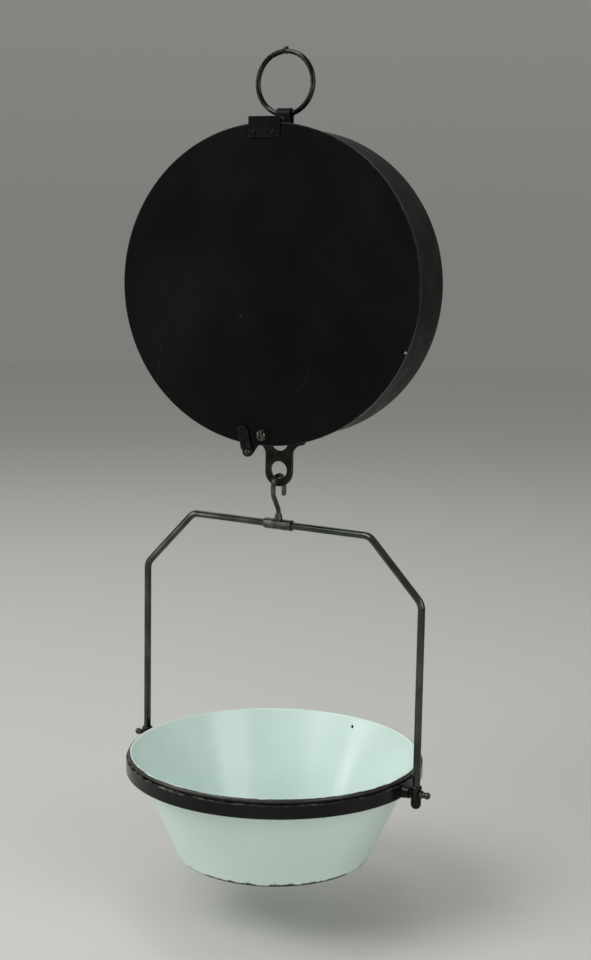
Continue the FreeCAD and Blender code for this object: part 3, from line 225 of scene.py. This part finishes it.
def paint(name, base, rough=(0.3, 0.42), dust=0.0, scuff=0.0, orange=0.3, bevel=0.0004, under=(0.20, 0.19, 0.17), spec=0.5, coat=0.0, worn_and_highlit_above=None):
    """Brushed or sprayed enamel on steel: slight orange peel, dust, scuffs that show the metal at the edges, and
    optionally a pale band along a top edge that is partly wear and partly a painted highlight.
    """
    m = Mat(name)
    big = m.noise(22, 4, 0.55)
    peel = m.noise(900, 2, 0.5)
    wave = m.noise(95, 3, 0.5)
    col = m.mix(m.span(big, 0.35, 0.7), base, tuple(c * 1.35 + 0.002 for c in base))
    rgh = m.span(m.noise(48, 5, 0.62), 0.3, 0.72, rough[0], rough[1])
    if dust > 0:
        d = m.span(m.noise(700, 2, 0.7), 0.70, 0.80, 0, dust)
        d2 = m.calc("MULTIPLY", m.span(m.noise(34, 6, 0.7), 0.52, 0.80), dust * 0.35)
        col = m.mix(m.calc("MAXIMUM", d, d2), col, (0.19, 0.19, 0.175))
    if scuff > 0:
        e = m.calc("MULTIPLY", m.edges(0.0008), m.span(m.noise(210, 5, 0.65), 0.46, 0.60))
        s = m.span(m.noise(120, 6, 0.7, 0.4), 0.69, 0.75)
        w = m.calc("MULTIPLY", m.calc("MAXIMUM", e, s), scuff)
        col = m.mix(w, col, under)
    if worn_and_highlit_above is not None:
        # paint rubbed through in lengths along a top edge, partly wear and partly a painted highlight where that edge
        # catches the light
        w = m.calc("MULTIPLY", m.span(m.xyz[2], worn_and_highlit_above, worn_and_highlit_above + 0.0003), m.span(m.noise(115, 7, 0.74), 0.44, 0.66))
        # stronger towards the left, where the edge shows its highlight: this weighting is painted highlight
        w = m.calc("MULTIPLY", w, m.span(m.xyz[0], -0.055, 0.0, 0.75, 0.30))
        col = m.mix(w, col, (0.22, 0.215, 0.19))
    m.set(Base_Color=col, Metallic=0.0, Roughness=rgh)
    m.b.inputs["Specular IOR Level"].default_value = spec
    if coat > 0:
        m.b.inputs["Coat Weight"].default_value = coat
        m.b.inputs["Coat Roughness"].default_value = 0.12
    h = m.calc("ADD", m.calc("MULTIPLY", peel, 0.25), wave)
    m.set(Normal=m.bump(h, orange, 0.00012, m.bevel(bevel)))
    return m.m


def cover_material():
    """The back cover: satin black with a dull haze, dust, a few scratches, and a rubbed rim."""
    m = Mat("cover_black")
    r = m.dist(CX, 0, CZ, "y")
    haze = m.noise(9, 4, 0.6)
    base = m.mix(m.span(haze, 0.35, 0.75), (0.0011, 0.0015, 0.0014), (0.0024, 0.0031, 0.0029))
    # a noise for fine round wiping marks about the centre, which nothing uses
    wipe = m.noise(1.0, 3, 0.5, 0.6, None)
    dust = m.span(m.noise(520, 2, 0.75), 0.745, 0.79, 0, 0.16)
    dust2 = m.span(m.noise(1300, 2, 0.8), 0.75, 0.80, 0, 0.10)
    blot = m.calc("MULTIPLY", m.span(m.noise(46, 7, 0.72), 0.56, 0.84), 0.10)
    col = m.mix(m.calc("MAXIMUM", dust, dust2), base, (0.24, 0.245, 0.23))
    col = m.mix(blot, col, (0.030, 0.032, 0.030))
    # a small dent mark near the centre and a curved scratch low on the right
    nick = m.span(m.dist(-0.022, cover_lo.y, CZ - 0.024, "y"), 0.0006, 0.0016, 1, 0)
    chip = m.span(m.calc("ADD", m.dist(0.1166, cover_lo.y, CZ - 0.0478, "y"), m.calc("MULTIPLY", m.noise(900, 2, 0.5), 0.0009)), 0.0012, 0.0016, 0.9, 0)
    arc_r = m.dist(0.004, 0, CZ - 0.058, "y")
    x, y, z = m.xyz
    arc = m.span(m.calc("ABSOLUTE", m.calc("SUBTRACT", arc_r, 0.034)), 0.00010, 0.00026, 1, 0)
    arc = m.calc("MULTIPLY", arc, m.span(x, 0.022, 0.026))
    arc = m.calc("MULTIPLY", arc, m.span(z, CZ - 0.086, CZ - 0.081))
    arc = m.calc("MULTIPLY", arc, m.span(z, CZ - 0.060, CZ - 0.066))
    hair = m.cells(7.0, m.stretch(1, 1, 1, (0.5, 0.2, 0.9)), "DISTANCE_TO_EDGE")
    hairs = m.calc("MULTIPLY", m.span(hair.outputs["Distance"], 0.0012, 0.0022, 1, 0), m.span(m.noise(13, 3, 0.5), 0.60, 0.68))
    marks = m.calc("MAXIMUM", m.calc("MAXIMUM", m.calc("MAXIMUM", m.calc("MULTIPLY", nick, 0.05), chip), m.calc("MULTIPLY", arc, 0.05)), m.calc("MULTIPLY", hairs, 0.03))
    col = m.mix(marks, col, (0.26, 0.26, 0.24))
    # rim: paint rubbed through in short lengths
    rub = m.calc("MULTIPLY", m.span(r, COVER_R - 0.0010, COVER_R - 0.0004), m.span(m.noise(120, 5, 0.7), 0.50, 0.62))
    col = m.mix(m.calc("MULTIPLY", rub, 0.10), col, (0.20, 0.19, 0.165))
    rgh = m.span(m.noise(16, 6, 0.62), 0.30, 0.75, 0.30, 0.44)
    rgh = m.mixf(m.calc("MAXIMUM", marks, dust), rgh, 0.7)
    rgh = m.mixf(m.span(r, COVER_R - 0.0016, COVER_R - 0.0006), rgh, 0.24)
    m.set(Base_Color=col, Metallic=0.0, Roughness=rgh)
    m.b.inputs["Specular IOR Level"].default_value = 0.09
    # the sheet is very slightly wavy, with a shallow pressed ring under the hinge
    ring = m.span(m.calc("ABSOLUTE", m.calc("SUBTRACT", m.dist(-0.004, 0, CZ + 0.122, "y"), 0.034)), 0.0, 0.0045, 1, 0)
    h = m.calc("ADD", m.calc("MULTIPLY", m.noise(13, 2, 0.4), 1.0), m.calc("MULTIPLY", ring, 0.10))
    n1 = m.bump(h, 0.25, 0.0022, m.bevel(0.0005))
    n2 = m.bump(m.noise(1100, 2, 0.5), 0.18, 0.00005, n1)
    m.set(Normal=n2)
    return m.m


def enamel_material():
    """Vitreous enamel: pale green-white, glossy, black at the rolled rim and round the foot, chipped along both."""
    m = Mat("pan_enamel_glaze")
    x, y, z = m.xyz
    r = m.dist(0, 0, 0, "z")
    flow = m.noise(10, 3, 0.5)
    col = m.mix(m.span(flow, 0.3, 0.7), (0.555, 0.690, 0.640), (0.615, 0.745, 0.698))
    # thin grey stains where water dried, and faint grey specks in the glaze
    stain = m.span(m.noise(28, 7, 0.7, 0.3), 0.62, 0.80, 0, 0.16)
    col = m.mix(stain, col, (0.40, 0.45, 0.40))
    speck = m.span(m.noise(640, 2, 0.8), 0.755, 0.80, 0, 0.55)
    col = m.mix(speck, col, (0.16, 0.15, 0.13))
    # the foot: a broken black line at the bottom corner, and a little of it creeping up
    edge_n = m.noise(62, 7, 0.72)
    foot = m.span(m.calc("ADD", z, m.calc("MULTIPLY", m.calc("SUBTRACT", edge_n, 0.5), 0.010)), BASE_Z + 0.0020, BASE_Z + 0.0031, 1, 0)
    outside = m.span(r, 0.0752, 0.0762)
    facing = m.node("ShaderNodeSeparateXYZ")
    m.put(facing.inputs[0], m.node("ShaderNodeTexCoord").outputs["Normal"])
    foot = m.calc("MULTIPLY", foot, m.calc("MULTIPLY", outside, m.span(facing.outputs[2], -0.05, 0.15, 1, 0)))
    # the rim: black enamel over the roll, chipped to bare dark iron
    lip = m.span(m.calc("ADD", r, m.calc("MULTIPLY", m.calc("SUBTRACT", m.noise(70, 6, 0.7), 0.5), 0.0030)), 0.12125, 0.12160)
    black = m.calc("MAXIMUM", lip, foot)
    # scattered chips just inside the rim
    chips = m.calc("MULTIPLY", m.span(m.noise(150, 6, 0.75), 0.675, 0.70), m.span(r, 0.1175, 0.1200))
    black = m.calc("MAXIMUM", black, chips, clamp=True)
    iron = m.mix(m.span(m.noise(260, 5, 0.7), 0.4, 0.65), (0.0045, 0.0045, 0.0042), (0.020, 0.017, 0.014))
    col = m.mix(black, col, iron)
    rgh = m.mixf(black, m.span(m.noise(60, 4, 0.6), 0.3, 0.7, 0.18, 0.22), 0.34)
    m.set(Base_Color=col, Metallic=0.0, Roughness=rgh)
    m.b.inputs["Specular IOR Level"].default_value = 0.5
    h = m.calc("ADD", m.calc("MULTIPLY", m.noise(26, 3, 0.5), 0.8), m.calc("MULTIPLY", m.noise(240, 3, 0.5), 0.10))
    h = m.calc("SUBTRACT", h, m.calc("MULTIPLY", black, 0.10))
    m.set(Normal=m.bump(h, 0.30, 0.0010, m.bevel(0.0004)))
    return m.m


def dial_material():
    m = Mat("dial_enamel")
    r = m.dist(0, 0, CZ, "y")
    age = m.span(r, 0.070, 0.112)
    col = m.mix(m.calc("MULTIPLY", age, m.span(m.noise(30, 6, 0.65), 0.35, 0.75)), (0.80, 0.785, 0.71), (0.66, 0.62, 0.49))
    fox = m.span(m.noise(300, 4, 0.7), 0.69, 0.77, 0, 0.35)
    col = m.mix(fox, col, (0.30, 0.22, 0.12))
    m.set(Base_Color=col, Metallic=0.0, Roughness=m.span(m.noise(60, 4, 0.6), 0.3, 0.7, 0.34, 0.5))
    m.set(Normal=m.bump(m.noise(240, 3, 0.5), 0.15, 0.0001, m.bevel(0.0003)))
    return m.m


def glass_material():
    m = Mat("dial_glass_clear")
    m.set(Base_Color=(0.97, 0.985, 0.98), Metallic=0.0, Roughness=0.03)
    m.b.inputs["IOR"].default_value = 1.5
    m.b.inputs["Transmission Weight"].default_value = 1.0
    m.b.inputs["Alpha"].default_value = 1.0
    dust = m.span(m.noise(420, 3, 0.7), 0.70, 0.80, 0.02, 0.16)
    m.set(Roughness=dust)
    return m.m


def brass(name):
    m = Mat(name)
    t = m.noise(90, 5, 0.6)
    col = m.mix(m.span(t, 0.35, 0.7), (0.58, 0.40, 0.15), (0.36, 0.23, 0.09))
    m.set(Base_Color=col, Metallic=1.0, Roughness=m.span(m.noise(300, 4, 0.6), 0.3, 0.7, 0.22, 0.42))
    m.set(Normal=m.bump(m.noise(700, 2, 0.5), 0.2, 0.0001, m.bevel(0.0003)))
    return m.m


def rubber(name):
    m = Mat(name)
    m.set(Base_Color=m.mix(m.noise(120, 4, 0.6), (0.012, 0.012, 0.012), (0.03, 0.03, 0.028)), Roughness=0.8,
          Normal=m.bump(m.noise(800, 3, 0.6), 0.4, 0.0001))
    return m.m


M = {
    "ring_steel": steel("ring_wire_steel", (0.009, 0.009, 0.008), (0.048, 0.048, 0.044), (0.10, 0.22), 120, 0.6, bump=0.12, rust=(0.03, 0.024, 0.018)),
    "black_steel": paint("hinge_black", (0.0022, 0.0026, 0.0023), (0.32, 0.46), dust=0.04, scuff=0.22, orange=0.30, under=(0.08, 0.08, 0.07), spec=0.07),
    "cover_paint": cover_material(),
    "shell_paint": paint("shell_dark", (0.0036, 0.0038, 0.0030), (0.44, 0.56), dust=0.05, scuff=0.0, orange=0.15, spec=0.06),
    "bezel_paint": paint("bezel_black", (0.010, 0.010, 0.010), (0.16, 0.3), dust=0.08, scuff=0.6, orange=0.2, coat=0.3),
    "fastener_steel": steel("fastener_plated", (0.16, 0.16, 0.15), (0.42, 0.42, 0.40), (0.25, 0.45), 200, 0.5, metallic=1.0),
    "frame_steel": steel("frame_sheet", (0.14, 0.14, 0.135), (0.36, 0.36, 0.35), (0.34, 0.55), 60, 0.5, metallic=1.0, rust=(0.16, 0.09, 0.05)),
    "plug_steel": steel("plug_turned", (0.15, 0.15, 0.14), (0.36, 0.36, 0.34), (0.26, 0.45), 90, 0.5, metallic=1.0),
    "spring_steel": steel("spring_wire", (0.055, 0.055, 0.055), (0.22, 0.22, 0.21), (0.24, 0.4), 80, 0.5, metallic=1.0),
    "brass_parts": brass("turned_brass"),
    "rack_steel": steel("rack_milled", (0.20, 0.20, 0.19), (0.42, 0.42, 0.40), (0.22, 0.4), 120, 0.4, metallic=1.0),
    "dial_face": dial_material(),
    "gasket_rubber": rubber("gasket_black"),
    "glass_clear": glass_material(),
    "pointer_paint": paint("pointer_black", (0.008, 0.008, 0.008), (0.3, 0.4), dust=0.05, scuff=0.2, orange=0.15),
    "screw_steel": steel("screw_worn", (0.022, 0.022, 0.020), (0.13, 0.13, 0.12), (0.13, 0.26), 140, 0.6, bump=0.06, metallic=1.0, edge=0.25),
    "latch_steel": steel("latch_worn", (0.006, 0.006, 0.006), (0.024, 0.024, 0.022), (0.26, 0.42), 160, 0.6, edge=0.35),
    "eye_steel": steel("eye_worn", (0.007, 0.0075, 0.0065), (0.030, 0.032, 0.028), (0.28, 0.46), 110, 0.6, edge=0.5),
    "hook_steel": steel("hook_worn", (0.026, 0.030, 0.023), (0.105, 0.115, 0.092), (0.20, 0.36), 130, 0.6, metallic=0.9, edge=0.35),
    "bail_steel": steel("bail_worn", (0.032, 0.037, 0.029), (0.092, 0.103, 0.082), (0.10, 0.18), 45, 0.5, bump=0.2, metallic=0.92),
    # the hoop's pale top edge is partly worn paint and partly a painted highlight, stronger on the left
    "hoop_black": paint("hoop_satin", (0.0028, 0.0032, 0.0029), (0.15, 0.27), dust=0.08, scuff=0.55, orange=0.45, under=(0.12, 0.118, 0.105), spec=0.17, worn_and_highlit_above=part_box("hoop_band")[1].z - 0.0007),
    "pin_steel": steel("pin_worn", (0.016, 0.017, 0.015), (0.080, 0.082, 0.072), (0.18, 0.34), 150, 0.6, metallic=0.95, edge=0.5),
    "pan_enamel": enamel_material(),
}
slot_of = {s["node"]: s["material_slot"] for s in frame["record"]["subparts"]}
# the flattened ends of the bail are darker than the rubbed rod
END_BLACK = steel("bail_end_black", (0.006, 0.0065, 0.0055), (0.026, 0.028, 0.024), (0.22, 0.38), 110, 0.6, edge=0.45)
for name, o in NODES.items():
    mat = END_BLACK if name.startswith("bail_end") else M[slot_of[name]]
    if not o.material_slots:
        o.data.materials.append(mat)
    for s in o.material_slots:
        s.material = mat
    for p in o.data.polygons:
        p.use_smooth = p.use_smooth


# ------------------------------------------------------------------ mesh building
def mesh_object(name, bm, mat, body, smooth=35.0):
    bmesh.ops.recalc_face_normals(bm, faces=bm.faces)
    me = bpy.data.meshes.new(name)
    bm.to_mesh(me)
    bm.free()
    o = bpy.data.objects.new(name, me)
    bpy.context.scene.collection.objects.link(o)
    me.materials.append(mat)
    if smooth is not None:
        for p in me.polygons:
            p.use_smooth = True
        me.set_sharp_from_angle(angle=math.radians(smooth))
    if body:
        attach(o, body)
    return o


def tube(bm, pts, rad, sides=16, closed_ends=True):
    """A round tube along the points."""
    rings = []
    prev = None
    for i, p in enumerate(pts):
        a, b = pts[max(i - 1, 0)], pts[min(i + 1, len(pts) - 1)]
        t = (b - a).normalized()
        if prev is None:
            n = t.orthogonal().normalized()
        else:
            n = (prev - t * prev.dot(t)).normalized()
        prev = n
        q = t.cross(n)
        rr = rad(i) if callable(rad) else rad
        rings.append([bm.verts.new(p + (n * math.cos(k) + q * math.sin(k)) * rr) for k in (2 * math.pi * j / sides for j in range(sides))])
    for a, b in zip(rings, rings[1:]):
        for j in range(sides):
            bm.faces.new((a[j], a[(j + 1) % sides], b[(j + 1) % sides], b[j]))
    if closed_ends:
        bm.faces.new(rings[0])
        bm.faces.new(list(reversed(rings[-1])))
    return rings


# ------------------------------------------------------------------ springs as wire coils over the length of each spring part
for node in ("spring_left", "spring_right"):
    lo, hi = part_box(node)
    cx = (lo.x + hi.x) / 2.0
    wire = 0.0012
    z0, z1 = lo.z + wire, hi.z - wire
    turns, per = 37.0, 26
    bm = bmesh.new()
    pts = []
    n = int(turns * per)
    for i in range(n + 1):
        a = 2 * math.pi * i / per
        pts.append(Vector((cx + 0.009 * math.cos(a), 0.009 * math.sin(a), z0 + (z1 - z0) * i / n)))
    tube(bm, pts, wire, 10)
    o = mesh_object(node + "_coil", bm, M["spring_steel"], None, 60)
    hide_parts(node)
    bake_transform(o)

# ------------------------------------------------------------------ dial print: ticks, rings and numerals
print_black = paint("dial_print_black", (0.012, 0.012, 0.012), (0.4, 0.5), orange=0.1)
print_red = paint("dial_print_red", (0.30, 0.018, 0.012), (0.4, 0.5), orange=0.1)
DY = dial_hi.y


def dial_point(r, deg, y):
    a = math.radians(deg)
    return Vector((-r * math.sin(a), y, CZ + r * math.cos(a)))


def bar(bm, r0, r1, deg, w, y0, y1):
    a = math.radians(deg)
    u = Vector((-math.sin(a), 0, math.cos(a)))
    t = Vector((-math.cos(a), 0, -math.sin(a)))
    c = Vector((0, 0, CZ))
    v = [bm.verts.new(c + u * r + t * s * w / 2 + Vector((0, y, 0))) for y in (y0, y1) for r, s in ((r0, -1), (r0, 1), (r1, 1), (r1, -1))]
    for f in ((0, 1, 2, 3), (7, 6, 5, 4), (0, 4, 5, 1), (1, 5, 6, 2), (2, 6, 7, 3), (3, 7, 4, 0)):
        bm.faces.new([v[i] for i in f])


def band(bm, r0, r1, y0, y1, a0=0.0, a1=360.0, n=240):
    """A flat ring, or part of one, with a little thickness."""
    full = a1 - a0 >= 359.9
    k = n if full else n + 1
    rows = []
    for i in range(k):
        d = a0 + (a1 - a0) * i / n
        rows.append([bm.verts.new(dial_point(r, d, y)) for r, y in ((r0, y0), (r1, y0), (r1, y1), (r0, y1))])
    for i in range(n):
        p, q = rows[i], rows[(i + 1) % k]
        for j in range(4):
            bm.faces.new((p[j], q[j], q[(j + 1) % 4], p[(j + 1) % 4]))
    if not full:
        bm.faces.new(rows[0])
        bm.faces.new(list(reversed(rows[-1])))


PRINT = 0.00010
bm = bmesh.new()
for i in range(201):
    deg = 340.0 * i / 200.0
    if i % 20 == 0:
        r0, w = 0.0985, 0.00105
    elif i % 10 == 0:
        r0, w = 0.1010, 0.00080
    elif i % 2 == 0:
        r0, w = 0.1035, 0.00050
    else:
        r0, w = 0.1055, 0.00030
    bar(bm, r0, 0.1085, deg, w, DY, DY + PRINT)
mesh_object("dial_ticks", bm, print_black, "drum", None)
bm = bmesh.new()
band(bm, 0.1085, 0.1091, DY, DY + PRINT, -0.3, 340.3)
band(bm, 0.1098, 0.1101, DY, DY + PRINT)
band(bm, 0.0360, 0.0364, DY, DY + PRINT)
mesh_object("dial_rings", bm, print_black, "drum", None)


def words(name, text, size, at, deg=0.0, mat=None):
    c = bpy.data.curves.new(name, "FONT")
    c.body = text
    c.size = size
    c.align_x, c.align_y = "CENTER", "CENTER"
    c.extrude = PRINT / 2
    c.offset = size * 0.012
    t = bpy.data.objects.new(name + "_text", c)
    bpy.context.scene.collection.objects.link(t)
    rot = Matrix(((-1, 0, 0, 0), (0, 0, 1, 0), (0, 1, 0, 0), (0, 0, 0, 1)))
    t.matrix_world = Matrix.Translation(at + Vector((0, PRINT / 2, 0))) @ rot
    bpy.context.view_layer.update()
    me = bpy.data.meshes.new_from_object(t.evaluated_get(bpy.context.evaluated_depsgraph_get()))
    me.transform(t.matrix_world)
    bpy.data.objects.remove(t)
    o = bpy.data.objects.new(name, me)
    bpy.context.scene.collection.objects.link(o)
    me.materials.clear()
    me.materials.append(mat or print_black)
    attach(o, "drum")
    return o


for k in range(11):
    deg = 34.0 * k
    words("dial_number_%02d" % k, str(k), 0.0145, dial_point(0.0885, deg, DY))
words("dial_unit", "kg", 0.0125, dial_point(0.050, 0, DY))
words("dial_capacity", "10 kg x 50 g", 0.0070, dial_point(0.052, 180, DY))

# ------------------------------------------------------------------ stage, light and camera
bm = bmesh.new()
n = 96
ring0 = [bm.verts.new((6.0 * math.cos(2 * math.pi * i / n), 6.0 * math.sin(2 * math.pi * i / n), BASE_Z - 0.055)) for i in range(n)]
bm.faces.new(ring0)
me = bpy.data.meshes.new("floor")
bm.to_mesh(me)
bm.free()
floor = bpy.data.objects.new("floor", me)
bpy.context.scene.collection.objects.link(floor)
fm = Mat("floor_pale")
fm.set(Base_Color=(0.54, 0.545, 0.515), Roughness=1.0)
fm.b.inputs["Specular IOR Level"].default_value = 0.0
me.materials.append(fm.m)

world = bpy.data.worlds.new("studio")
bpy.context.scene.world = world
world.use_nodes = True
wn, wl = world.node_tree.nodes, world.node_tree.links
bg = wn["Background"]
wsep = wn.new("ShaderNodeSeparateXYZ")
wl.new(wn.new("ShaderNodeTexCoord").outputs["Generated"], wsep.inputs[0])
wspan = wn.new("ShaderNodeMapRange")
for i, q in ((1, 0.0), (2, 1.0), (3, 0.205), (4, 0.42)):
    wspan.inputs[i].default_value = q
wl.new(wsep.outputs[2], wspan.inputs[0])
bg.inputs[0].default_value = (1.0, 1.01, 0.955, 1)
wl.new(wspan.outputs[0], bg.inputs[1])

target = Vector((0, 0, -0.36))


def softbox(name, az, el, dist, size, power, color=(1, 1, 1), aim=None):
    a, e = math.radians(az), math.radians(el)
    d = Vector((math.sin(a) * math.cos(e), -math.cos(a) * math.cos(e), math.sin(e)))
    L = bpy.data.lights.new(name, "AREA")
    L.shape = "RECTANGLE"
    L.size, L.size_y = size
    L.energy = power
    L.color = color
    o = bpy.data.objects.new(name, L)
    bpy.context.scene.collection.objects.link(o)
    p = (aim or target) + d * dist
    o.location = p
    o.visible_camera = False
    o.rotation_euler = ((aim or target) - p).to_track_quat("-Z", "Y").to_euler()
    return o


softbox("key", -30, 44, 2.3, (1.2, 1.4), 31)
softbox("right", 66, 19, 2.4, (1.3, 1.7), 18)
softbox("left", -54, 0, 2.4, (0.58, 1.6), 14)
softbox("front", 15, -3, 2.4, (0.12, 1.2), 5)
softbox("slope", -74, 24, 2.4, (1.0, 0.7), 8)
softbox("back", 215, 42, 2.4, (1.4, 1.4), 7)
softbox("top", 10, 84, 2.2, (0.6, 0.5), 5)

AZ, EL, ROLL, DIST, F = 0.3856, 0.1482, 0.0175, 1.27231, 1598.22
look = Vector((0.02756, cover_lo.y, CZ - 0.15253))
back = Vector((math.sin(AZ) * math.cos(EL), -math.cos(AZ) * math.cos(EL), math.sin(EL)))
right = Vector((math.cos(AZ), math.sin(AZ), 0))
up = back.cross(right)
cr, sr = math.cos(ROLL), math.sin(ROLL)
rx, ux = right * cr + up * sr, up * cr - right * sr
cam = bpy.data.cameras.new("camera")
cam.sensor_fit = "HORIZONTAL"
cam.sensor_width = 36.0
cam.lens = F * 36.0 / 591.0
cam.clip_start, cam.clip_end = 0.05, 60.0
co = bpy.data.objects.new("camera", cam)
bpy.context.scene.collection.objects.link(co)
loc = look + back * DIST
co.matrix_world = Matrix(((rx.x, ux.x, back.x, loc.x), (rx.y, ux.y, back.y, loc.y), (rx.z, ux.z, back.z, loc.z), (0, 0, 0, 1)))
bpy.context.scene.camera = co
bpy.context.scene.view_settings.view_transform = "Standard"
